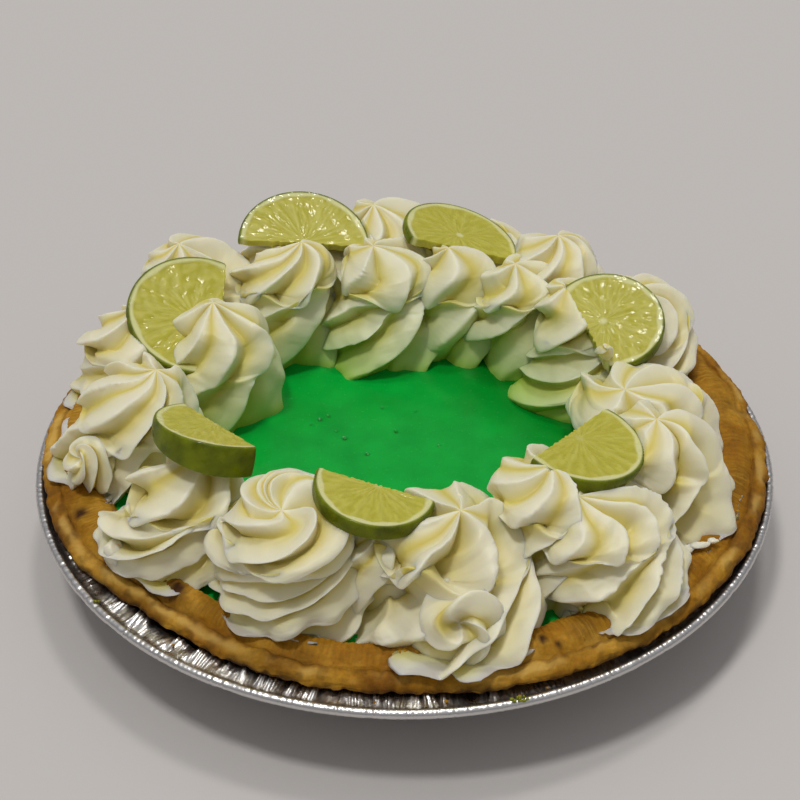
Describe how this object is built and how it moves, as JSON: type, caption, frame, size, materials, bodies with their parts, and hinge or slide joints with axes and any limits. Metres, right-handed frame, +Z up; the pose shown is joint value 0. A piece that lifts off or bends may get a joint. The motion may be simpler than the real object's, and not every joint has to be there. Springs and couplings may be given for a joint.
{
  "type": "key lime pie",
  "caption": "Key lime pie in a round foil tin, its green filling open in the middle of a ring of piped cream swirls with cut slices of lime laid on them.",
  "frame": {"origin": "middle of the underside of the tin's flat base, which stands on the table", "axes": "+Z up; -Y towards the viewer of the picture; +X to the viewer's right"},
  "size_m": [0.256, 0.256, 0.0819],
  "materials": {
    "rolled_foil": "bright rolled foil with a pleated wall",
    "shortcrust": "matte baked pastry",
    "lime_filling": "smooth set curd",
    "whipped_cream": "smooth satin whipped cream",
    "lime": "waxy peel and wet cut flesh"
  },
  "bodies": {
    "root": {"foil_tin": "rolled_foil", "crust": "shortcrust", "lime_filling": "lime_filling", "cream_outer_01": "whipped_cream", "cream_outer_02": "whipped_cream", "cream_outer_03": "whipped_cream", "cream_outer_04": "whipped_cream", "cream_outer_05": "whipped_cream", "cream_outer_06": "whipped_cream", "cream_outer_07": "whipped_cream", "cream_outer_08": "whipped_cream", "cream_outer_09": "whipped_cream", "cream_outer_10": "whipped_cream", "cream_outer_11": "whipped_cream", "cream_outer_12": "whipped_cream", "cream_outer_13": "whipped_cream", "cream_outer_14": "whipped_cream", "cream_inner_01": "whipped_cream", "cream_inner_02": "whipped_cream", "cream_inner_03": "whipped_cream", "cream_inner_04": "whipped_cream", "cream_inner_05": "whipped_cream", "cream_inner_06": "whipped_cream", "cream_inner_07": "whipped_cream", "lime_slice_1": "lime", "lime_slice_2": "lime", "lime_slice_3": "lime", "lime_slice_4": "lime", "lime_slice_5": "lime", "lime_slice_6": "lime", "lime_slice_7": "lime"}
  },
  "joints": []
}
